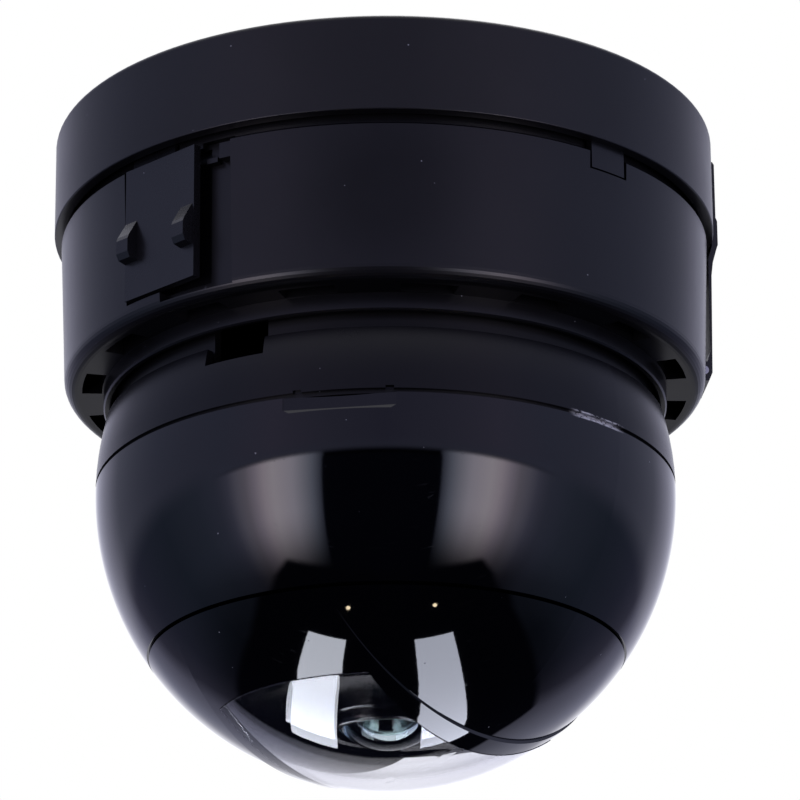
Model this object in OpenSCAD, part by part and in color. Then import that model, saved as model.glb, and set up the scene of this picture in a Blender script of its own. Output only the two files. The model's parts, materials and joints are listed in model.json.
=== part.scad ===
// Ceiling ball-dome security camera with a turning head and a tilting lens.
// The ceiling face is z = 0 and the camera hangs down along -Z. Front is -Y. Millimetres.

/* [Base] */
// Diameter of the ceiling collar
collar_d = 130; // [129:0.5:132]
// Height of the ceiling collar
collar_h = 19.4; // [19:0.1:20]
// Height of the dark groove under the collar
groove_h = 1.9; // [1.5:0.1:2.2]
// Radius at the top of the drum
drum_top_r = 63.6; // [63.4:0.1:63.8]
// Radius at the bottom of the drum
drum_bot_r = 62.6; // [62.4:0.1:62.9]
// Ribs in the ring under the drum
rib_count = 16; // [16:1:16]
// Width of each pocket between ribs, in degrees
pocket_deg = 10.5; // [9:0.5:12]
// Pitch circle of the ceiling screws
screw_pcd = 90; // [88:1:92]
// Radius of each ceiling screw hole
screw_r = 2.25; // [2:0.05:2.5]
// Radius of the cable entry in the mounting plate
cable_r = 10; // [9:0.5:11]

/* [Ball] */
// Radius of the ball
ball_r = 56.2; // [56:0.1:56.4]
// Wall of the ball shells
shell_t = 2; // [1.8:0.1:2]
// Half width of the window
slot_half = 18.1; // [17.5:0.1:18.5]
// Radius of the window's round ends about the ball's lower pole
win_end_r = 33.3; // [33:0.1:33.5]
// Latitude of the upper seam above the ball's equator
seam1_deg = 1.2; // [1:0.1:1.4]
// Latitude of the lower seam below the ball's equator
seam2_deg = 35.4; // [35:0.1:36]
// Angle the head is turned to at rest
head_turn = 38.6; // [38.6:0.1:38.6]

/* [Camera] */
// Radius of the tilting shroud
shroud_r = 52.3; // [52.1:0.1:52.4]
// Depth of the flat lens face below the ball's centre
face_drop = 44.2; // [44:0.1:44.4]
// Radius of the front lens opening
lens_r = 9.7; // [9.5:0.1:9.8]
// How far the front lens stands below the flat face
lens_bulge = 6; // [5.6:0.1:6.6]

/* [Drive] */
// Teeth on each driven gear
gear_teeth = 60; // [60:1:60]
// Teeth on each motor pinion
pinion_teeth = 14; // [14:1:14]
// Tooth module of the pan gears
pan_mod = 1; // [1:0.1:1]
// Tooth module of the tilt gears
tilt_mod = 0.8; // [0.8:0.1:0.8]

/* [Hidden] */
$fn = 96;

e = 0.01;
zc = -73;                          // height of the ball's centre
cr = collar_d / 2;
zg = -collar_h;                    // top of the groove
zd = zg - groove_h;                // top of the drum
zb = -52;                          // bottom of the drum
rin = ball_r - shell_t;            // inside radius of the shells
z_seam1 = ball_r * sin(seam1_deg); // local to the ball, as all z_ values below
z_seam2 = -ball_r * sin(seam2_deg);
z_top = 14.4;                      // top edge of the pan ring
pan_cd = pan_mod * (gear_teeth + pinion_teeth) / 2 + 0.12;
pan_dir = 150;                     // direction of the pan motor
tilt_cd = tilt_mod * (gear_teeth + pinion_teeth) / 2 + 0.1;
tilt_dir = 30;                     // direction of the tilt motor above level, at the rear
win_shift = 2.2;                   // the window's own sphere sits this much lower
win_r = ball_r - win_shift * cos(54);
frame_r = 238;                     // the raised frame's long sides are arcs of this radius

function pol(r, a) = [r * cos(a), r * sin(a)];
function arc(cx, cy, r, a0, a1, n) = [for (i = [0:n]) [cx + r * cos(a0 + (a1 - a0) * i / n), cy + r * sin(a0 + (a1 - a0) * i / n)]];
// involute flank, in degrees, measured from the middle of a tooth
function inv(a) = tan(a) * 180 / PI - a;
function flank(m, z, r) = let (rp = m * z / 2, rb = rp * cos(20))
    90 / z - 0.25 / (m * z) * 57.3 / 2 * m + inv(20) - inv(acos(min(1, rb / r)));
function gear_pts(m, z, n = 3) = let (rp = m * z / 2, rb = rp * cos(20), rr = rp - 1.25 * m, ro = rp + m,
    r0 = max(rb, rr) + 0.02)
    [for (i = [0:z - 1]) let (p = 360 / z * i) each concat(
        [pol(rr, p - flank(m, z, r0) - 20 / z)],
        [for (k = [0:n]) let (r = r0 + (ro - r0) * k / n) pol(r, p - flank(m, z, r))],
        [for (k = [n:-1:0]) let (r = r0 + (ro - r0) * k / n) pol(r, p + flank(m, z, r))],
        [pol(rr, p + flank(m, z, r0) + 20 / z)])];

// at_az turns a piece drawn facing the front (-Y) to a compass angle, positive to the right
module at_az(a) { rotate([0, 0, a]) children(); }
// a ring sector: inner and outer radius, z range, and compass angles from the front
module sector(r0, r1, z0, z1, a0, a1) {
    rotate([0, 0, a0 - 90]) rotate_extrude(angle = a1 - a0)
        polygon([[r0, z0], [r1, z0], [r1, z1], [r0, z1]]);
}
module ring(r0, r1, z0, z1) { translate([0, 0, z0]) difference() {
    cylinder(r = r1, h = z1 - z0); translate([0, 0, -1]) cylinder(r = r0, h = z1 - z0 + 2); } }
// a slice of a hollow ball between two heights
module ball_slice(ro, ri, z0, z1) { difference() {
    intersection() { sphere(r = ro, $fn = 160); translate([0, 0, z0]) cylinder(r = ro + 5, h = z1 - z0); }
    sphere(r = ri, $fn = 160); } }
// the head's pieces are drawn about the ball's centre, facing front, then turned and dropped
module in_head() { translate([0, 0, zc]) rotate([0, 0, -head_turn]) children(); }
// a flat drawing in the head's side plane, thickened along the tilt axis from x0 to x1
module side(x0, x1) { translate([x0, 0, 0]) rotate([90, 0, 90]) linear_extrude(height = x1 - x0) children(); }
module rod_x(r, x0, x1) { translate([x0, 0, 0]) rotate([0, 90, 0]) cylinder(r = r, h = x1 - x0); }
module box(a, b) { translate(a) cube(b - a); }

// ---------- base ----------
module mounting_plate() { color("dimgray") difference() {
    union() { ring(cable_r, 59.8, -2.5, 0); ring(cable_r, cable_r + 2, -4, -2.4); }
    for (a = [30, 150, 270]) rotate([0, 0, a]) translate([screw_pcd / 2, 0, -4]) cylinder(r = screw_r, h = 8);
    for (a = [0, 120, 240]) rotate([0, 0, a]) translate([57.2, 0, -4]) { cylinder(r = 1.35, h = 8); translate([0, 0, 2.6]) cylinder(r = 2.3, h = 3); }
} }
module plate_screws() { color("silver") for (a = [0, 120, 240]) rotate([0, 0, a]) translate([57.2, 0, 0]) difference() {
    union() { translate([0, 0, -1.35]) cylinder(r = 2.15, h = 1.2); translate([0, 0, -4.5]) cylinder(r = 1.2, h = 3.3); }
    translate([-1.6, -0.25, -0.7]) cube([3.2, 0.5, 1]); translate([-0.25, -1.6, -0.7]) cube([0.5, 3.2, 1]);
} }
module collar() { color("black") difference() {
    rotate_extrude($fn = 180) polygon(concat(
        [[55.2, -2.6], [60, -2.6], [60, 0]],
        arc(cr - 1, -1, 1, 90, 0, 5),
        arc(cr - 0.25, zg + 0.25, 0.25, 0, -90, 3),
        [[62.9, zg], [62.4, zg + 0.5], [62.4, -4.6], [55.2, -4.6]]));
    for (a = [0, 120, 240]) rotate([0, 0, a]) translate([57.2, 0, -7]) cylinder(r = 1.22, h = 8);
    at_az(96) box([-5.4, -70, -10.4], [5.4, -60, -6.6]);
    // shallow seat for the side clip
    at_az(96) box([-5.4, -70, -30], [5.4, -64.4, -1.2]);
} }
module collar_hooks() { color("black") for (a = [42, 222]) {
    sector(61.9, 63.4, zd - 3.5, zg - 0.02, a - 3.8, a + 3.8);
    sector(61.9, 62.38, zg - 0.03, -9, a - 3.8, a + 3.8);
} }
module drum_housing() { color("black") difference() {
    rotate_extrude($fn = 180) polygon(concat(
        [[59.4, -6], [61.6, -6], [61.6, zd], [drum_top_r - 0.4, zd], [drum_top_r, zd - 0.4]],
        arc(drum_bot_r - 2.6, zb + 2.6, 2.6, 0, -90, 7),
        [[54.9, zb], [54.9, -55.1], [54.6, -55.4], [53.8, -55.4], [53.5, -55.1], [53.5, -41.6], [59.4, -41.6]]));
    // pockets between the ribs
    for (i = [0:rib_count - 1]) let (c = -3 + 11.25 + i * 360 / rib_count)
        sector(55.2, 59.1, zb - 1, -43.4, c - pocket_deg / 2, c + pocket_deg / 2);
    // window for the latch plate, with the channel beside it
    at_az(-44.5) { box([-6.9, -75, -48.4], [12.7, -58.4, zd + 0.01]); box([-6.3, -75, zd], [6.3, -58.4, -11]); }
    sector(60.2, 75, -50.3, zd + 1, -33.4, -26.8);
    sector(60.2, 75, -50.3, -48.2, -42.2, -33.2);
    // windows for the collar's hooks
    for (a = [42, 222]) sector(61.4, 75, zd - 3.9, -8, a - 4.3, a + 4.3);
    // recess for the side clip
    at_az(96) { box([-5.6, -75, -49.5], [5.6, -60.2, -43.6]); }
    // hole for the latch pin
    at_az(-44.5) translate([-12, -58.6, -15.6]) rotate([0, 90, 0]) cylinder(r = 0.78, h = 24);
    // screw holes for the deck
    for (i = [0:3]) at_az(-3 + i * 90) translate([0, -56.9, -48]) cylinder(r = 1.15, h = 10);
}
    // back wall of the latch window
    color("black") at_az(-44.5) { box([-8.2, -58.4, -49.6], [14.2, -57.2, -19.8]); box([-8.2, -60.4, -49.6], [-6.95, -57.2, -19.8]); }
    // ears for the latch pin
    color("black") at_az(-44.5) for (s = [-1, 1]) difference() {
        box([s > 0 ? 6.31 : -8.6, -60.3, -18.4], [s > 0 ? 8.6 : -6.31, -57.0, -12.6]);
        translate([-12, -58.6, -15.6]) rotate([0, 90, 0]) cylinder(r = 0.75, h = 24);
    }
    // small step at the top of the channel
    color("black") sector(60.0, 62.6, zd - 3.4, zd - 0.3, -29.4, -26.6);
    color("black") sector(60.0, 61.8, zd - 3.6, zd - 2.6, -32.4, -30.2);
}
module latch_plate() { color("black") at_az(-44.5) {
    difference() {
        union() {
            box([-6.5, -63.15, -47.9], [12.3, -61.5, zd - 0.1]);
            box([-5.7, -61.9, zd - 0.6], [5.7, -60.7, -16.4]);
            hull() { translate([-5.7, -58.6, -15.6]) rotate([0, 90, 0]) cylinder(r = 1.7, h = 11.4, $fn = 32);
                     box([-5.7, -61.9, -18], [5.7, -60.7, -16.4]); }
            for (p = [[-4.9, -0.8], [10.3, -1.8]]) translate([p[0] - 1.55, 0, p[1]]) rotate([90, 0, 90]) linear_extrude(height = 3.1)
                polygon([[-63.0, -31.2], [-65.2, -34.8], [-65.5, -35.6], [-65.5, -38.2], [-64.9, -39.3], [-63.0, -39.7]]);
        }
        translate([-7, -58.6, -15.6]) rotate([0, 90, 0]) cylinder(r = 0.8, h = 14);
    }
} }
module latch_pin() { color("silver") at_az(-44.5) translate([-8.6, -58.6, -15.6]) rotate([0, 90, 0]) cylinder(r = 0.74, h = 17.2); }
module side_clip() { color("black") at_az(96) difference() {
    union() {
        rotate([90, 0, 90]) translate([0, 0, -5]) linear_extrude(height = 10)
            polygon([[-64.75, -1.6], [-65.3, -1.6], [-65.65, -2.2], [-65.65, -13.6], [-65.95, -14.4], [-65.95, -19.4], [-65.65, -20.3], [-64.85, -23.2], [-64.5, -26], [-64.1, -46.6],
                     [-63.4, -48.3], [-61.6, -48.3], [-60.9, -47.2], [-60.9, -45.6], [-61.6, -44.6], [-63.2, -44.2], [-63.8, -42], [-63.95, -22.5], [-64.75, -19.7],
                     [-64.75, -9.8], [-63.3, -9.4], [-63.3, -7.8], [-64.75, -7.2]]);
    }
    translate([-6, -62.4, -46.3]) rotate([0, 90, 0]) cylinder(r = 0.95, h = 12);
} }
module clip_pin() { color("silver") at_az(96) translate([-5.6, -62.4, -46.3]) rotate([0, 90, 0]) cylinder(r = 0.9, h = 11.2); }
module deck() { color("gray") difference() {
    ring(20.02, 59.2, -41.5, -38.5);
    at_az(-44.5) box([-8.8, -70, -45], [14.8, -56.9, -30]);
    for (i = [0:3]) at_az(-3 + i * 90) translate([0, -56.9, -45]) cylinder(r = 1.35, h = 10);
    for (a = [105, 225, 345]) rotate([0, 0, a]) translate([43, 0, -45]) cylinder(r = 4.5, h = 10);
} }
module deck_screws() { color("silver") for (i = [0:3]) at_az(-3 + i * 90) translate([0, -56.9, 0]) difference() {
    union() { translate([0, 0, -38.48]) cylinder(r = 2.1, h = 1.5); translate([0, 0, -47]) cylinder(r = 1.1, h = 8.8); }
    translate([-1.5, -0.25, -37.6]) cube([3, 0.5, 1]); translate([-0.25, -1.5, -37.6]) cube([0.5, 3, 1]);
} }
module bearing_outer() { color("silver") ring(17.4, 20, -42.4, -37.4); }
module pan_motor() { color("silver") rotate([0, 0, pan_dir]) translate([pan_cd, 0, 0]) difference() {
    union() {
        translate([0, 0, -30.4]) cylinder(r = 12.5, h = 16);
        translate([0, 0, -31.2]) cylinder(r = 4.5, h = 1);
        difference() {
            hull() for (s = [-1, 1]) translate([0, s * 17.5, -30.9]) cylinder(r = 3.5, h = 0.9, $fn = 32);
            for (s = [-1, 1]) translate([0, s * 17.5, -33]) cylinder(r = 1.6, h = 4);
        }
    }
    translate([0, 0, -34]) cylinder(r = 1.55, h = 14);
} }
module motor_posts() { color("goldenrod") rotate([0, 0, pan_dir]) translate([pan_cd, 0, 0]) for (s = [-1, 1]) translate([0, s * 17.5, 0]) {
    translate([0, 0, -38.49]) cylinder(r = 2.8, h = 7.57); translate([0, 0, -31]) cylinder(r = 1.5, h = 1.1); translate([0, 0, -29.98]) cylinder(r = 2.6, h = 1.3);
} }
module slip_ring_bridge() { color("gray") rotate([0, 0, pan_dir + 90]) difference() {
    union() {
        box([-45, -7, -28.4], [45, 7, -26.9]);
        for (s = [-1, 1]) translate([s * 41, 0, -38.49]) cylinder(r = 3.4, h = 10.5);
    }
    translate([0, 0, -30]) cylinder(r = 5, h = 5);
} }
module slip_ring_stator() { color("dimgray") ring(4.06, 11, -26.89, -13.5); }
module main_board() { color("darkgreen") difference() {
    ring(13, 53, -10.2, -8.6);
    for (i = [0:2]) rotate([0, 0, 75 + i * 120]) translate([49, 0, -12]) cylinder(r = 1.6, h = 6);
} }
module board_posts() { color("goldenrod") for (i = [0:2]) rotate([0, 0, 75 + i * 120]) translate([49, 0, 0]) {
    translate([0, 0, -38.49]) cylinder(r = 3, h = 28.28); translate([0, 0, -10.3]) cylinder(r = 1.5, h = 1.8); translate([0, 0, -8.59]) cylinder(r = 2.7, h = 1.5);
} }
module board_parts() { color("black") {
    box([-38, -12, -11.8], [-24, 2, -10.21]);
    box([16, 18, -11.6], [26, 28, -10.21]);
    box([-8, 26, -11.4], [4, 36, -10.21]);
    for (p = [[28, -22], [20, -30], [34, -12]]) translate([p[0], p[1], -18.2]) cylinder(r = 4, h = 7.99);
    box([-26, -36, -15.2], [-16, -26, -10.21]);
} }
module terminal_block() { color("green") difference() {
    box([22, -9, -8.59], [32, 9, -3.2]);
    for (i = [-1:1]) { translate([27, i * 5.4, -6.4]) cylinder(r = 1.7, h = 5); box([18, i * 5.4 - 1.6, -7.8], [25, i * 5.4 + 1.6, -4.9]); }
} }
module pan_pinion() { color("gold") rotate([0, 0, pan_dir]) translate([pan_cd, 0, 0]) {
    rotate([0, 0, 180 + 180 / pinion_teeth]) translate([0, 0, -36.8]) linear_extrude(height = 5) polygon(gear_pts(pan_mod, pinion_teeth, 4));
    translate([0, 0, -37.8]) cylinder(r = 1.5, h = 16.5);
} }

// ---------- turning head ----------
module bearing_inner() { color("silver") ring(12.02, 14.1, -42.39, -37.41); }
module bearing_balls() { color("silver") for (i = [0:11]) rotate([0, 0, i * 30]) translate([15.75, 0, -39.9]) sphere(r = 1.55, $fn = 24); }
module pan_carrier() { color("black") difference() {
    union() {
        rotate_extrude($fn = 180) polygon([[8.5, -32], [12, -32], [12, -42.4], [14, -42.4], [14, -43.2], [51.9, -43.2], [52.4, -43.7], [52.4, -62.4], [50.6, -62.4], [50.6, -46], [8.5, -46]]);
    }
    rotate([0, 0, -head_turn]) for (sx = [-1, 1], sy = [-1, 1]) translate([sx * 22, sy * 9, -50]) cylinder(r = 1.15, h = 6.2);
    // pocket behind the pan ring's notch
    rotate([0, 0, -head_turn]) sector(49, 60, -62.1, -53, 1.3, 14.2);
} }
module pan_gear() { color("white") difference() {
    union() {
        translate([0, 0, -36.3]) linear_extrude(height = 3.9) rotate([0, 0, pan_dir]) polygon(gear_pts(pan_mod, gear_teeth));
        translate([0, 0, -37.4]) cylinder(r = 14, h = 1.2);
    }
    translate([0, 0, -40]) cylinder(r = 12.02, h = 10);
    for (i = [0:5]) rotate([0, 0, i * 60 + 30]) translate([21.5, 0, -40]) cylinder(r = 4.2, h = 10);
} }
module hub_nut() { color("silver") difference() {
    translate([0, 0, -32.39]) cylinder(r = 15.6, h = 1.6, $fn = 6); translate([0, 0, -34]) cylinder(r = 12.02, h = 5);
} }
module slip_ring_rotor() { color("dimgray") { translate([0, 0, -46.5]) cylinder(r = 4, h = 24.5); translate([0, 0, -36]) cylinder(r = 8.45, h = 3); } }
module pan_ring() { color("black") in_head() difference() {
    ball_slice(ball_r, rin, z_seam1 + 0.4, z_top);
    translate([0, 0, 7]) cylinder(r = 52.7, h = 20);
    sector(52, 70, z_top - 3.6, z_top + 3, 1.1, 14.4);
    for (a = [21.8, 39.5]) sector(55.5, 70, z_seam1, z_seam1 + 0.9, a - 0.8, a + 0.8);
} }
module seam_ring() { color("black") in_head() { ring(52.8, 53.8, -4, 6); ring(53.7, 55.4, z_seam1 - 0.39, z_seam1 + 0.39); } }
module upper_shell() { color("black") in_head() difference() {
    ball_slice(ball_r, rin, z_seam2 + 0.2, z_seam1 - 0.4);
    // shallow prying recess under the upper seam
    hull() { for (a = [20.6, 39.2]) sector(55.98, 60, -2.3, 2, a - 0.5, a + 0.5); for (a = [19.4, 40.4]) sector(55.98, 60, -1.6, 2, a - 0.4, a + 0.4); }
} }
module lower_cap() { color("black") in_head() {
    difference() {
        union() {
            ball_slice(ball_r, rin, -60, z_seam2 - 0.2);
            // raised frame around the window, drawn on the window's lower sphere
            difference() {
                intersection() {
                    translate([0, 0, -win_shift]) sphere(r = win_r - 0.1, $fn = 160);
                    translate([22.1 - frame_r, 0, -70]) cylinder(r = frame_r, h = 70 + z_seam2 - 0.25, $fn = 180);
                    translate([frame_r - 22.1, 0, -70]) cylinder(r = frame_r, h = 70 + z_seam2 - 0.25, $fn = 180);
                }
                sphere(r = rin + 0.5, $fn = 160);
            }
        }
        intersection() { translate([-slot_half, -80, -80]) cube([2 * slot_half, 160, 60]); translate([0, 0, -80]) cylinder(r = win_end_r, h = 60); }
        // fine bevel along the top edge
        let (zt = z_seam2 - 0.2, rc = sqrt(ball_r * ball_r - zt * zt)) rotate_extrude($fn = 180)
            polygon([[rc - 0.45, zt + 0.02], [rc + 1, zt + 0.02], [rc + 1, zt - 0.2], [rc - 0.143, zt - 0.2], [rc - 0.45, zt]]);
    }
    ball_slice(rin + 0.1, 52.95, -36.5, z_seam2 - 0.3);
    ball_slice(rin - 0.15, 52.95, z_seam2 - 0.4, -28.5);
} }
module window() { color("lightblue", 0.4) in_head() difference() {
    intersection() {
        translate([0, 0, -win_shift]) sphere(r = win_r, $fn = 160);
        translate([-slot_half + 0.1, -60, -70]) cube([2 * slot_half - 0.2, 120, 50]);
        translate([0, 0, -70]) cylinder(r = win_end_r - 0.1, h = 50);
    }
    sphere(r = rin + 0.3, $fn = 160);
} }
module yoke() { color("gray") in_head() difference() {
    union() {
        box([-29, -14, 24.4], [29, 14, 26.98]);
        for (s = [-1, 1]) side(s > 0 ? 26 : -29, s > 0 ? 29 : -26) difference() {
            union() {
                circle(r = 10);
                polygon([[-10, 0], [-14, 16], [-14, 26], [14, 26], [14, 24.5], [10, 0]]);
                if (s > 0) hull() { translate(pol(tilt_cd, tilt_dir)) circle(r = 9.4); translate([8, 14]) circle(r = 9.4); }
            }
            circle(r = 6.02);
            if (s > 0) translate(pol(tilt_cd, tilt_dir)) circle(r = 3.2);
        }
    }
    translate([0, 0, 20]) cylinder(r = 8, h = 10);
    for (sx = [-1, 1], sy = [-1, 1]) translate([sx * 22, sy * 9, 20]) cylinder(r = 1.4, h = 10);
} }
module yoke_screws() { color("silver") in_head() for (sx = [-1, 1], sy = [-1, 1]) translate([sx * 22, sy * 9, 0]) {
    translate([0, 0, 22.9]) cylinder(r = 2.2, h = 1.49); translate([0, 0, 24.3]) cylinder(r = 1.1, h = 4.7); } }
module tilt_bushes() { color("goldenrod") in_head() for (s = [-1, 1]) difference() {
    union() { rod_x(6, s > 0 ? 25.6 : -29, s > 0 ? 29 : -25.6); rod_x(7.2, s > 0 ? 25 : -25.98, s > 0 ? 25.98 : -25); }
    rod_x(3.55, s > 0 ? 20 : -34, s > 0 ? 34 : -20); } }
module tilt_motor() { color("silver") in_head() translate([0, tilt_cd * cos(tilt_dir), tilt_cd * sin(tilt_dir)]) difference() {
    union() { rod_x(8, 9, 25.98); rod_x(3.1, 25.5, 28.4); rod_x(2.2, 8, 9.2); }
    rod_x(1.05, 14, 30); } }
module head_board() { color("darkgreen") in_head() {
    box([-20, -26, 18.6], [20, 12, 20.2]);
    for (p = [[-12, -10], [12, -10], [-12, 8], [12, 8]]) translate([p[0], p[1], 20.1]) cylinder(r = 1.8, h = 4.29);
    box([-8, -24, 17], [6, -14, 18.7]);
    box([8, -6, 16.6], [16, 4, 18.7]);
} }
module tilt_pinion() { color("gold") in_head() translate([0, tilt_cd * cos(tilt_dir), tilt_cd * sin(tilt_dir)]) {
    side(30.4, 35.2) rotate([0, 0, tilt_dir + 180 + 180 / pinion_teeth]) polygon(gear_pts(tilt_mod, pinion_teeth, 4));
    rod_x(1, 15, 35.6); } }

// ---------- tilting camera ----------
module wedge2d(r, h) { intersection() { circle(r = r); polygon([[0, 6], pol(90, -90 - h), [60 * cos(-90 - h / 2), -110], [0, -110], [60 * cos(-90 + h / 2), -110], pol(90, -90 + h)]); } }
module shroud() { color("black") in_head() difference() {
    union() {
        // band behind the window, with the flat lens face
        difference() {
            intersection() { sphere(r = shroud_r, $fn = 160); side(-22, 22) wedge2d(80, 62); translate([-22, -60, -face_drop]) cube([44, 120, 120]); }
            difference() {
                sphere(r = shroud_r - 2, $fn = 160);
                translate([-60, -60, -70]) cube([120, 120, 70 - face_drop + 2]);
            }
            sphere(r = 41.5, $fn = 64);
        }
        // side plates
        for (s = [-1, 1]) intersection() {
            side(s > 0 ? 20 : -22, s > 0 ? 22 : -20) difference() { union() { wedge2d(48.5, 62); circle(r = 9); } circle(r = 3.5); }
            sphere(r = shroud_r - 0.5, $fn = 160);
            translate([-30, -60, -face_drop + 1]) cube([60, 120, 120]);
        }
    }
    translate([0, 0, -60]) cylinder(r = 9.75, h = 22);
} }
module trunnions() { color("silver") in_head() { rod_x(3.49, 16.4, 35); rod_x(3.49, -30.5, -16.4); } }
module tilt_gear() { color("white") in_head() difference() {
    union() { side(31.2, 34.6) rotate([0, 0, tilt_dir]) polygon(gear_pts(tilt_mod, gear_teeth)); rod_x(6.5, 29.6, 31.3); }
    rod_x(3.5, 25, 40);
    for (i = [0:4]) rotate([i * 72, 0, 0]) translate([0, 14, 0]) rod_x(4.4, 30, 40);
} }
module camera_block() { color("dimgray") in_head() difference() {
    box([-19.98, -14, -30], [19.98, 14, 2]);
    translate([0, 0, -40]) cylinder(r = 9.05, h = 21.5);
    box([-17.5, -8.5, -19], [17.5, 8.5, -13.6]);
    box([-13.5, -12.5, -13.7], [13.5, 12.5, 3]);
    rod_x(3.5, -25, -16); rod_x(3.5, 16, 25);
} }
module lens_barrel() { color("black") in_head() rotate_extrude() polygon([[7.4, -19.6], [9, -19.6], [9, -36], [9.6, -36.6], [9.6, -45.6], [9.3, -45.9], [8.8, -45.9], [8.8, -42.6], [7.4, -41.4]]); }
module lens_bezel() { color("black") in_head() rotate_extrude($fn = 120) polygon(concat(
    [[9.8, -face_drop + 0.02 - 0.03], [12.2, -face_drop - 0.01], [12.2, -face_drop - 0.9], [11.7, -face_drop - 1.2], [11.7, -face_drop - 2]],
    arc(10.9, -face_drop - 2.6, 0.8, 0, -90, 5), [[9.8, -face_drop - 3.2]])); }
module front_lens() { color("teal", 0.5) in_head() let (zr = -face_drop - 1.71, h = lens_bulge - 1.71, rr = (lens_r * lens_r + h * h) / (2 * h)) difference() {
    union() {
        intersection() { translate([0, 0, zr - h + rr]) sphere(r = rr, $fn = 128); translate([0, 0, zr - 20]) cylinder(r = lens_r + 1, h = 20); }
        translate([0, 0, zr - 0.01]) cylinder(r = 8.75, h = 3.1);
    }
    translate([0, 0, zr + 7.2]) sphere(r = 8.7, $fn = 96);
} }
module inner_lenses() { color("teal", 0.5) in_head() {
    intersection() { translate([0, 0, -38.71]) sphere(r = 8.2, $fn = 96); translate([0, 0, -60]) cylinder(r = 7.38, h = 22.4); }
    translate([0, 0, -34]) cylinder(r = 7.38, h = 4.4); translate([0, 0, -26]) cylinder(r = 7.38, h = 3.2); } }
module sensor_board() { color("darkgreen") in_head() difference() {
    box([-13.4, -12.4, -10], [13.4, 12.4, -8.4]);
    translate([0, 10.5, -12]) cylinder(r = 1.2, h = 6); translate([0, -10.5, -12]) cylinder(r = 1.2, h = 6);
} }
module image_sensor() { color("gray") in_head() box([-5.5, -4.5, -12.2], [5.5, 4.5, -10.01]); }
module filter_frame() { color("black") in_head() difference() {
    box([-16.8, -7.8, -17.6], [5.8, 7.8, -16]);
    box([-4.6, -4.6, -19], [4.6, 4.6, -14]);
    box([-15.2, -4.6, -19], [-6, 4.6, -14]);
} }
module ir_filter() { color("red", 0.5) in_head() box([-4.59, -4.59, -17.2], [4.59, 4.59, -16.5]); }

mounting_plate();
plate_screws();
collar();
collar_hooks();
drum_housing();
latch_plate();
latch_pin();
side_clip();
clip_pin();
deck();
deck_screws();
bearing_outer();
pan_motor();
motor_posts();
slip_ring_bridge();
slip_ring_stator();
main_board();
board_posts();
board_parts();
terminal_block();
pan_pinion();
bearing_inner();
bearing_balls();
pan_carrier();
pan_gear();
hub_nut();
slip_ring_rotor();
pan_ring();
seam_ring();
upper_shell();
lower_cap();
window();
yoke();
yoke_screws();
tilt_bushes();
tilt_motor();
head_board();
tilt_pinion();
shroud();
trunnions();
tilt_gear();
camera_block();
lens_barrel();
lens_bezel();
front_lens();
inner_lenses();
sensor_board();
image_sensor();
filter_frame();
ir_filter();
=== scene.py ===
import bpy, bmesh, json, math, random
from mathutils import Matrix, Vector

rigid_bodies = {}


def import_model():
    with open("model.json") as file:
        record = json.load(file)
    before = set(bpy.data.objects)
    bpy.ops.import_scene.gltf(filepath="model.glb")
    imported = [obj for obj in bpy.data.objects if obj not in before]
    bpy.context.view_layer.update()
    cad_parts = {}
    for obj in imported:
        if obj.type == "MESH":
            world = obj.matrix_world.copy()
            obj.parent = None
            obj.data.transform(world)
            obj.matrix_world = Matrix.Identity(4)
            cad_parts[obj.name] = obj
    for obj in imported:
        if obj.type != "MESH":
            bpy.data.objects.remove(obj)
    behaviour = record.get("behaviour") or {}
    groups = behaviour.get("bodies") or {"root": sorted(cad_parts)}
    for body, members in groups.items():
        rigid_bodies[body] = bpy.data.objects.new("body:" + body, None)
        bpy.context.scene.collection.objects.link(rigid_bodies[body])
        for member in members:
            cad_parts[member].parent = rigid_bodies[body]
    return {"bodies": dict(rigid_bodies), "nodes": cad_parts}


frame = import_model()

NODES, BODIES = frame["nodes"], frame["bodies"]
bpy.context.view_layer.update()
scene = bpy.context.scene
scene.view_settings.view_transform = "Standard"
scene.view_settings.look = "None"

# ------------------------------------------------------------------ camera
pitch, yaw, roll = 0.362519, 0.00318646, -0.00739898
fwd = Vector((math.sin(yaw) * math.cos(pitch), math.cos(yaw) * math.cos(pitch), math.sin(pitch)))
rgt = fwd.cross(Vector((0, 0, 1))).normalized()
upv = rgt.cross(fwd)
r2 = rgt * math.cos(roll) + upv * math.sin(roll)
u2 = upv * math.cos(roll) - rgt * math.sin(roll)
cam_data = bpy.data.cameras.new("camera")
cam_data.lens, cam_data.sensor_width = 225, 36
cam_data.clip_start, cam_data.clip_end = 0.02, 30
cam = bpy.data.objects.new("camera", cam_data)
scene.collection.objects.link(cam)
cam.matrix_world = Matrix((
    (r2.x, u2.x, -fwd.x, 0.0),
    (r2.y, u2.y, -fwd.y, -0.913298),
    (r2.z, u2.z, -fwd.z, -0.399003),
    (0, 0, 0, 1)))
scene.camera = cam


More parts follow.
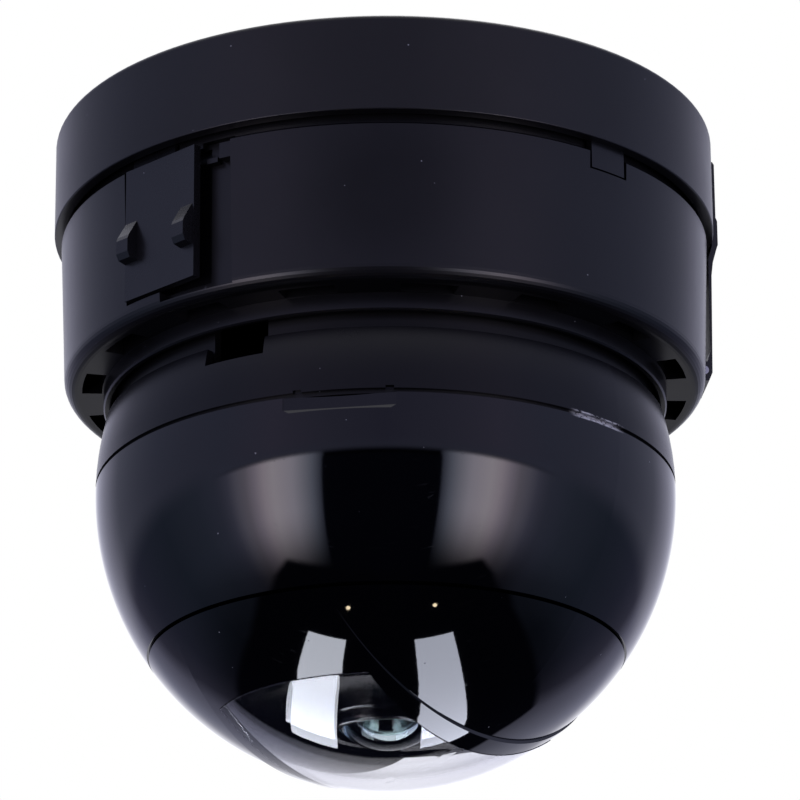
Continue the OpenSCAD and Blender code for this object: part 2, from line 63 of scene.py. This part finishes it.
# ------------------------------------------------------------------ node helpers
class Graph:
    """Small helper that wires shader nodes."""

    def __init__(self, tree):
        self.t = tree
        tree.nodes.clear()

    def node(self, kind, **kw):
        n = self.t.nodes.new(kind)
        for k, v in kw.items():
            setattr(n, k, v)
        return n

    def put(self, sock, v):
        if isinstance(v, bpy.types.NodeSocket):
            self.t.links.new(v, sock)
        elif v is not None:
            sock.default_value = v

    def m(self, op, a, b=None, c=None, clamp=False):
        n = self.node("ShaderNodeMath", operation=op, use_clamp=clamp)
        for i, v in enumerate((a, b, c)):
            if v is not None:
                self.put(n.inputs[i], v)
        return n.outputs[0]

    def step(self, x, e0, e1, lo=0.0, hi=1.0, kind="SMOOTHSTEP"):
        n = self.node("ShaderNodeMapRange", interpolation_type=kind, clamp=True)
        for i, v in enumerate((x, e0, e1, lo, hi)):
            self.put(n.inputs[i], v)
        return n.outputs[0]

    def ramp(self, x, stops, interpolation="LINEAR"):
        n = self.node("ShaderNodeValToRGB")
        n.color_ramp.interpolation = interpolation
        el = n.color_ramp.elements
        while len(el) < len(stops):
            el.new(0.5)
        for e, (p, c) in zip(el, stops):
            e.position = p
        for e, (p, c) in zip(el, stops):
            e.color = (*c, 1) if hasattr(c, "__len__") else (c, c, c, 1)
        self.put(n.inputs[0], x)
        return n.outputs[0]

    def mix(self, f, a, b):
        n = self.node("ShaderNodeMix", data_type="RGBA", clamp_factor=True)
        self.put(n.inputs[0], f)
        for i, v in ((6, a), (7, b)):
            self.put(n.inputs[i], (*v, 1) if isinstance(v, tuple) and len(v) == 3 else v)
        return n.outputs[2]

    def scale(self, c, f):
        n = self.node("ShaderNodeVectorMath", operation="SCALE")
        self.put(n.inputs[0], c)
        self.put(n.inputs["Scale"], f)
        return n.outputs[0]

    def add(self, a, b):
        n = self.node("ShaderNodeVectorMath", operation="ADD")
        self.put(n.inputs[0], a)
        self.put(n.inputs[1], b)
        return n.outputs[0]

    def noise(self, scale, detail=2.0, rough=0.5, vec=None, dist=0.0):
        n = self.node("ShaderNodeTexNoise")
        if vec is not None:
            self.put(n.inputs["Vector"], vec)
        n.inputs["Scale"].default_value = scale
        n.inputs["Detail"].default_value = detail
        n.inputs["Roughness"].default_value = rough
        n.inputs["Distortion"].default_value = dist
        return n.outputs["Fac"]

    def voro(self, scale, vec=None, feature="F1", rnd=1.0):
        n = self.node("ShaderNodeTexVoronoi", feature=feature)
        if vec is not None:
            self.put(n.inputs["Vector"], vec)
        n.inputs["Scale"].default_value = scale
        n.inputs["Randomness"].default_value = rnd
        return n


# ------------------------------------------------------------------ studio: a light tent with two side panels
world = bpy.data.worlds.new("studio")
scene.world = world
world.use_nodes = True
g = Graph(world.node_tree)
tc = g.node("ShaderNodeTexCoord")
sep = g.node("ShaderNodeSeparateXYZ")
g.put(sep.inputs[0], tc.outputs["Generated"])
X, Y, Z = sep.outputs
az = g.m("MULTIPLY", g.m("ARCTAN2", X, g.m("MULTIPLY", Y, -1.0)), 180 / math.pi)
aa = g.m("ABSOLUTE", az)
el = g.m("MULTIPLY", g.m("ARCSINE", g.m("MINIMUM", g.m("MAXIMUM", Z, -1.0), 1.0)), 180 / math.pi)
left = g.m("LESS_THAN", X, 0.0)
K = 1.25


def stops(rows, tint=(1, 1, 1)):
    return [(a / 180, tuple(v * t / K for t in tint)) for a, v in rows]


COOL = (0.94, 0.97, 1.5)
upper = g.ramp(g.m("DIVIDE", aa, 180.0), [
    (0 / 180, (.22, .22, .37)), (20 / 180, (.26, .26, .42)), (44 / 180, (.35, .33, .53)), (65 / 180, (.29, .31, .50)),
    (100 / 180, (.27, .29, .45)), (130 / 180, (.30, .31, .43)), (141 / 180, (.45, .45, .60)), (160 / 180, (.62, .62, .78)),
    (171 / 180, (.86, .86, .95)), (1.0, (.92, .92, 1.0))])
lower = g.ramp(g.m("DIVIDE", aa, 180.0), [
    (0 / 180, (.25, .27, .42)), (66 / 180, (.32, .35, .56)), (80 / 180, (.20, .24, .38)), (100 / 180, (.11, .14, .23)),
    (125 / 180, (.10, .11, .19)), (138 / 180, (.13, .13, .21)), (146 / 180, (.33, .33, .48)), (160 / 180, (.42, .43, .58)),
    (171 / 180, (.62, .62, .71)), (1.0, (.68, .68, .75))])
grey = g.mix(g.step(el, -3.0, 6.0), lower, upper)
# the grey walls fade towards the bottom of the tent
fade = g.mix(g.step(aa, 145.0, 160.0), g.scale(grey, g.step(el, -20.0, -44.0, 1.0, 0.27)), g.scale(grey, g.step(el, -20.0, -44.0, 1.0, 0.68)))
# soft light from above, seen only by the top faces
top = g.mix(g.step(el, 32.0, 62.0), fade, (1.0, 1.0, 1.08))
col = g.scale(top, K)
# side panels in front, bright in the middle and fading to their outer edges, with a dark gap between
shift = g.m("MULTIPLY", left, g.m("ADD", 2.2, g.m("MULTIPLY", g.m("MAXIMUM", g.m("MULTIPLY", el, -1.0), 0.0), 0.09)))
pa = g.m("SUBTRACT", aa, shift)
prof = g.ramp(g.m("DIVIDE", pa, 90.0), [
    (21.0 / 90, (0.0, 0.0, 0.0)), (22.5 / 90, (.10, .11, .16)), (26 / 90, (.30, .32, .42)), (30 / 90, (.54, .53, .65)), (34 / 90, (.78, .73, .87)),
    (38 / 90, (.88, .80, .93)), (42 / 90, (.96, .87, .98)), (46 / 90, (.84, .73, .85)), (50 / 90, (.55, .48, .60)),
    (54 / 90, (.33, .30, .38)), (58 / 90, (.24, .23, .31)), (62 / 90, (.14, .14, .21)), (68 / 90, (.08, .085, .13)), (80 / 90, (.04, .045, .07))])
down = g.m("MULTIPLY", g.step(el, -18.0, -45.0, 1.0, 0.04), g.step(el, 1.5, -1.0))
front = g.m("MULTIPLY", g.step(aa, 74.0, 60.0), g.step(el, -49.0, -46.5))
pan_on = g.m("MULTIPLY", front, g.step(el, 1.5, -1.0))
col = g.mix(pan_on, col, g.scale(prof, g.m("MULTIPLY", down, 4.95)))
gap = g.m("MULTIPLY", g.step(pa, 22.4, 21.2), g.step(el, -1.0, -2.5))
col = g.mix(gap, col, (0.009, 0.011, 0.026))
# dark floor of the tent
zi = g.m("MULTIPLY", g.m("MINIMUM", Z, -0.001), -1.0)
U, V = g.m("DIVIDE", X, zi), g.m("DIVIDE", Y, zi)


def rect(u0, u1, v0, v1, soft=0.02):
    return g.m("MULTIPLY", g.m("MULTIPLY", g.step(U, u0 - soft, u0 + soft), g.step(U, u1 + soft, u1 - soft)),
               g.m("MULTIPLY", g.step(V, v0 - soft, v0 + soft), g.step(V, v1 + soft, v1 - soft)))


below = g.step(Z, 0.0, -0.12)
col = g.mix(g.m("MULTIPLY", below, rect(-1.06, 1.02, -0.92, 1.45, 0.06)), col, (0.008, 0.009, 0.020))


def dot(azd, eld, rad):
    a, e = math.radians(azd), math.radians(eld)
    d = (math.sin(a) * math.cos(e), -math.cos(a) * math.cos(e), math.sin(e))
    n = g.node("ShaderNodeVectorMath", operation="DOT_PRODUCT")
    g.put(n.inputs[0], tc.outputs["Generated"])
    n.inputs[1].default_value = d
    return g.m("GREATER_THAN", n.outputs["Value"], math.cos(math.radians(rad)))


col = g.mix(g.m("MAXIMUM", dot(-28.5, -60.5, 0.75), dot(35.0, -58.5, 0.75)), col, (22.0, 18.0, 12.0))
lp = g.node("ShaderNodeLightPath")
col = g.mix(lp.outputs["Is Camera Ray"], col, (1.0, 1.0, 1.0))
bg = g.node("ShaderNodeBackground")
g.put(bg.inputs["Color"], col)
out = g.node("ShaderNodeOutputWorld")
g.put(out.inputs["Surface"], bg.outputs[0])
world.cycles.sampling_method = "MANUAL"
world.cycles.sample_map_resolution = 2048


# ------------------------------------------------------------------ materials
def new_material(name):
    mat = bpy.data.materials.new(name)
    mat.use_nodes = True
    gg = Graph(mat.node_tree)
    bs = gg.node("ShaderNodeBsdfPrincipled")
    oo = gg.node("ShaderNodeOutputMaterial")
    gg.t.links.new(bs.outputs[0], oo.inputs["Surface"])
    t = gg.node("ShaderNodeTexCoord")
    return mat, gg, bs, t.outputs["Object"]


def bump(gg, bs, height, dist, strength=1.0, into=None):
    b = gg.node("ShaderNodeBump")
    gg.put(b.inputs["Height"], height)
    b.inputs["Distance"].default_value = dist
    b.inputs["Strength"].default_value = strength
    if into is not None:
        gg.put(b.inputs["Normal"], into)
    gg.put(bs.inputs["Normal"], b.outputs[0])
    return b.outputs[0]


def specks(gg, vec, scale, size, share):
    """Sparse dust: a mask of small round dots, in a share of the cells only."""
    v = gg.voro(scale, vec)
    keep = gg.node("ShaderNodeSeparateColor")
    gg.put(keep.inputs[0], v.outputs["Color"])
    return gg.m("MULTIPLY", gg.step(v.outputs["Distance"], size, size * 0.45), gg.m("GREATER_THAN", keep.outputs[0], 1.0 - share))


def plastic(name, base, rough, vary=0.05, grain=0.00001, grain_scale=2600, ior=1.5, coat=0.0, dust=0.0, scratch=0.0, tone=1.6, waves=0.0, spec=0.5, residue=False, painted_underside_shade=False):
    mat, gg, bs, obj = new_material(name)
    big = gg.noise(38, 3.0, 0.55, obj)
    fine = gg.noise(grain_scale, 2.0, 0.6, obj)
    base2 = tuple(min(1.0, b * tone) for b in base)
    c = gg.mix(gg.step(big, 0.38, 0.68), base, base2)
    r = gg.m("ADD", rough - vary, gg.m("MULTIPLY", gg.noise(90, 4.0, 0.6, obj), 2 * vary))
    r = gg.m("ADD", r, gg.m("MULTIPLY", gg.m("SUBTRACT", fine, 0.5), vary * 0.6))
    if dust:
        d = specks(gg, obj, 420, 0.085, dust)
        c = gg.mix(gg.m("MULTIPLY", d, 0.75), c, (0.20, 0.21, 0.24))
        r = gg.m("ADD", r, gg.m("MULTIPLY", d, 0.5))
    if residue:
        # pale dried dust caught in a short length of the upper seam
        sp = gg.node("ShaderNodeSeparateXYZ")
        gg.put(sp.inputs[0], obj)
        a = gg.m("MULTIPLY", gg.m("ARCTAN2", sp.outputs[0], gg.m("MULTIPLY", sp.outputs[1], -1.0)), 180 / math.pi)
        along = gg.m("MULTIPLY", gg.step(a, 37.5, 41.0), gg.step(a, 53.5, 49.0))
        off = gg.m("ABSOLUTE", gg.m("ADD", sp.outputs[2], 0.07185))
        wide = gg.m("ADD", 0.00035, gg.m("MULTIPLY", gg.noise(260, 3.0, 0.6, obj), 0.0006))
        band = gg.step(gg.m("SUBTRACT", off, wide), 0.00012, -0.0001)
        k = gg.m("MULTIPLY", gg.m("MULTIPLY", along, band), gg.step(gg.noise(900, 3.0, 0.6, obj), 0.34, 0.50))
        c = gg.mix(gg.m("MULTIPLY", k, 0.9), c, (0.42, 0.43, 0.46))
        r = gg.m("ADD", r, gg.m("MULTIPLY", k, 0.6))
    gg.put(bs.inputs["Base Color"], c)
    h = gg.m("MULTIPLY", fine, 1.0)
    if scratch:
        # hair-fine marks, drawn out along one direction
        mp = gg.node("ShaderNodeMapping")
        mp.inputs["Rotation"].default_value = (0.3, 0.5, 0.8)
        mp.inputs["Scale"].default_value = (14.0, 240.0, 60.0)
        gg.put(mp.inputs["Vector"], obj)
        s = gg.noise(9, 2.0, 0.5, mp.outputs[0])
        s = gg.step(s, 0.69, 0.74)
        r = gg.m("ADD", r, gg.m("MULTIPLY", s, scratch))
        h = gg.m("SUBTRACT", h, gg.m("MULTIPLY", s, scratch * 2))
    r = gg.m("MINIMUM", gg.m("MAXIMUM", r, 0.0), 1.0)
    gg.put(bs.inputs["Roughness"], r)
    first = None
    if waves:
        b0 = gg.node("ShaderNodeBump")
        gg.put(b0.inputs["Height"], gg.noise(70, 1.0, 0.4, obj))
        b0.inputs["Distance"].default_value = waves
        b0.inputs["Strength"].default_value = 1.0
        first = b0.outputs[0]
    bump(gg, bs, h, grain, 1.0, first)
    bs.inputs["IOR"].default_value = ior
    bs.inputs["Specular IOR Level"].default_value = spec
    if coat:
        bs.inputs["Coat Weight"].default_value = coat
        bs.inputs["Coat Roughness"].default_value = 0.015
    if painted_underside_shade:
        # painted shade: the reflection on the downward-facing ribbed underside is cut to stand in for the ball blocking
        # the light there, and the front carries one soft patch of weaker reflection
        ge = gg.node("ShaderNodeNewGeometry")
        sn = gg.node("ShaderNodeSeparateXYZ")
        gg.put(sn.inputs[0], ge.outputs["Normal"])
        dist = gg.node("ShaderNodeVectorMath", operation="DISTANCE")
        gg.put(dist.inputs[0], obj)
        dist.inputs[1].default_value = (0.0, -0.0633, -0.0345)
        patch = gg.step(dist.outputs["Value"], 0.005, 0.021, 0.70, 1.0)
        gg.put(bs.inputs["Specular IOR Level"], gg.m("MULTIPLY", gg.step(sn.outputs[2], -0.95, -0.72, spec * 0.12, spec), patch))
    return mat


def metal(name, base, rough, vary=0.08, brush=None, grain=0.000012, tone=0.8):
    mat, gg, bs, obj = new_material(name)
    vec = obj
    if brush:
        mp = gg.node("ShaderNodeMapping")
        mp.inputs["Scale"].default_value = brush
        gg.put(mp.inputs["Vector"], obj)
        vec = mp.outputs[0]
    n1 = gg.noise(900, 3.0, 0.6, vec)
    n2 = gg.noise(60, 3.0, 0.5, obj)
    gg.put(bs.inputs["Base Color"], gg.mix(gg.step(n2, 0.35, 0.7), base, tuple(b * tone for b in base)))
    gg.put(bs.inputs["Roughness"], gg.m("ADD", rough - vary, gg.m("MULTIPLY", n1, 2 * vary)))
    bs.inputs["Metallic"].default_value = 1.0
    bump(gg, bs, n1, grain)
    return mat


def glass(name, tint, rough=0.0, ior=1.49, spec_tint=None, coat=0.0):
    # coated lens faces reflect far less than bare glass: a low index stands in for the coating
    mat, gg, bs, obj = new_material(name)
    bs.inputs["Transmission Weight"].default_value = 1.0
    bs.inputs["IOR"].default_value = ior
    gg.put(bs.inputs["Base Color"], gg.mix(gg.step(gg.noise(30, 2.0, 0.5, obj), 0.3, 0.7), tint, tuple(t * 0.985 for t in tint)))
    d = specks(gg, obj, 300, 0.05, 0.06)
    gg.put(bs.inputs["Roughness"], gg.m("ADD", rough, gg.m("MULTIPLY", d, 0.15)))
    if spec_tint:
        bs.inputs["Specular Tint"].default_value = (*spec_tint, 1)
    if coat:
        bs.inputs["Coat Weight"].default_value = coat
        bs.inputs["Coat Roughness"].default_value = 0.0
    return mat


M = {}
M["collar_plastic"] = plastic("collar_plastic", (0.0030, 0.0029, 0.0038), 0.34, 0.03, 0.000012, 3200, dust=0.04, tone=1.5, spec=0.33)
# the drum's underside carries painted shade: its reflection is cut where the faces point down
M["drum_plastic"] = plastic("drum_plastic", (0.0022, 0.0022, 0.0028), 0.29, 0.03, 0.000007, 3000, dust=0.06, tone=1.5, scratch=0.05, spec=0.36, painted_underside_shade=True)
M["latch_plastic"] = plastic("latch_plastic", (0.0026, 0.0026, 0.0034), 0.27, 0.03, 0.000007, 3000, dust=0.08, spec=0.42)
M["clip_plastic"] = plastic("clip_plastic", (0.004, 0.004, 0.0055), 0.36, 0.03, 0.00001, 3000)
M["neck_plastic"] = plastic("neck_plastic", (0.0010, 0.0010, 0.0013), 0.40, 0.04, 0.00001, 3000, spec=0.25, residue=True)
M["ring_plastic"] = plastic("ring_plastic", (0.0020, 0.0020, 0.0028), 0.26, 0.03, 0.000006, 3000, dust=0.06, spec=0.25, residue=True)
M["gloss_shell"] = plastic("gloss_shell", (0.0004, 0.0004, 0.0006), 0.045, 0.012, 0.0000006, 2200, dust=0.06, scratch=0.10, waves=0.000004, residue=True)
M["gloss_cap"] = plastic("gloss_cap", (0.00018, 0.00018, 0.00026), 0.03, 0.01, 0.0000005, 2200, dust=0.06, scratch=0.08, waves=0.000004)
M["shroud_gloss"] = plastic("shroud_gloss", (0.0030, 0.0031, 0.0036), 0.20, 0.04, 0.0000008, 2200, dust=0.02, spec=0.07)
M["bezel_gloss"] = plastic("bezel_gloss", (0.0020, 0.0020, 0.0026), 0.16, 0.03, 0.000001, 2400, spec=0.30)
M["barrel_black"] = plastic("barrel_black", (0.0022, 0.0022, 0.0026), 0.36, 0.05, 0.000008, 3000, spec=0.2)
M["clear_window"] = glass("clear_window", (0.985, 0.99, 1.0), 0.0, 1.46, (0.9, 0.9, 0.9))
M["lens_glass"] = glass("lens_glass", (0.80, 0.95, 0.93), 0.0, 1.16, (0.40, 1.0, 0.98), 0.0)
M["inner_glass"] = glass("inner_glass", (0.62, 0.72, 0.70), 0.0, 1.20, (1.0, 0.12, 0.05))
M["filter_glass"] = glass("filter_glass", (0.85, 0.25, 0.22), 0.0, 1.5)
M["sensor_face"] = metal("sensor_face", (0.16, 0.17, 0.22), 0.25, 0.05)
M["plate_steel"] = metal("plate_steel", (0.46, 0.46, 0.47), 0.42, 0.08, (1.0, 14.0, 1.0))
M["frame_steel"] = metal("frame_steel", (0.42, 0.42, 0.43), 0.38, 0.08)
M["screw_steel"] = metal("screw_steel", (0.62, 0.61, 0.60), 0.26, 0.06)
M["bearing_steel"] = metal("bearing_steel", (0.72, 0.72, 0.73), 0.14, 0.05)
M["motor_steel"] = metal("motor_steel", (0.55, 0.55, 0.56), 0.3, 0.07)
M["brass"] = metal("brass", (0.72, 0.52, 0.22), 0.28, 0.07)
M["gear_plastic"] = plastic("gear_plastic", (0.74, 0.73, 0.69), 0.45, 0.05, 0.00001, 2500, tone=0.93)
M["dark_plastic"] = plastic("dark_plastic", (0.02, 0.02, 0.022), 0.45, 0.05, 0.00001, 2500)
M["circuit_board"] = plastic("circuit_board", (0.015, 0.075, 0.035), 0.35, 0.08, 0.00001, 1500, tone=1.5)
M["chip_plastic"] = plastic("chip_plastic", (0.015, 0.015, 0.017), 0.5, 0.05, 0.00001, 2500)
M["terminal_plastic"] = plastic("terminal_plastic", (0.03, 0.22, 0.08), 0.4, 0.05, 0.00001, 2500)

unknown = set()
for name, ob in NODES.items():
    for s in ob.material_slots:
        key = s.material.name.split(".")[0] if s.material else None
        if key in M:
            s.material = M[key]
        else:
            unknown.add((name, key))
if unknown:
    print("no material for", sorted(unknown))

# ------------------------------------------------------------------ floor and top light
bm = bmesh.new()
bmesh.ops.create_circle(bm, cap_ends=True, radius=9.0, segments=96)
me = bpy.data.meshes.new("studio_floor")
bm.to_mesh(me)
bm.free()
floor = bpy.data.objects.new("studio_floor", me)
floor.location = (0, 0, -2.0)
scene.collection.objects.link(floor)
fm, fg, fb, fo = new_material("studio_floor")
fg.put(fb.inputs["Base Color"], fg.mix(fg.noise(3, 2.0, 0.5, fo), (0.86, 0.86, 0.87), (0.90, 0.90, 0.91)))
fb.inputs["Roughness"].default_value = 0.9
fb.inputs["Emission Color"].default_value = (1, 1, 1, 1)
fb.inputs["Emission Strength"].default_value = 0.35
me.materials.append(fm)
floor.visible_glossy = False
floor.visible_transmission = False
floor.visible_diffuse = False
floor.visible_shadow = False

ld = bpy.data.lights.new("top_softbox", "AREA")
ld.shape, ld.size, ld.size_y, ld.energy = "RECTANGLE", 1.2, 1.2, 14
lo_ = bpy.data.objects.new("top_softbox", ld)
lo_.location = (0.3, 0.7, 1.9)
lo_.rotation_euler = (Vector((0, 0, 0)) - lo_.location).to_track_quat("-Z", "Y").to_euler()
lo_.visible_camera = False
scene.collection.objects.link(lo_)

# two bright panels under the camera, mirrored by the polished parts only
polished = bpy.data.collections.new("polished_parts")
for name in ("upper_shell", "lower_cap", "window"):
    polished.objects.link(NODES[name])
for tag, x0, x1, y0, y1, tint, watts in (("left", -0.83, -0.40, -0.45, 1.50, (0.84, 0.88, 1.0), 29.0), ("right", 0.26, 0.65, -0.38, 1.38, (0.80, 0.84, 1.0), 20.0)):
    d = bpy.data.lights.new("panel_" + tag, "AREA")
    d.shape, d.size, d.size_y, d.energy, d.color = "RECTANGLE", x1 - x0, y1 - y0, watts, tint
    o = bpy.data.objects.new("panel_" + tag, d)
    o.location = ((x0 + x1) / 2, (y0 + y1) / 2, -1.6)
    o.rotation_euler = (math.pi, 0, 0)
    o.visible_camera = False
    o.visible_diffuse = False
    scene.collection.objects.link(o)
    o.light_linking.receiver_collection = polished
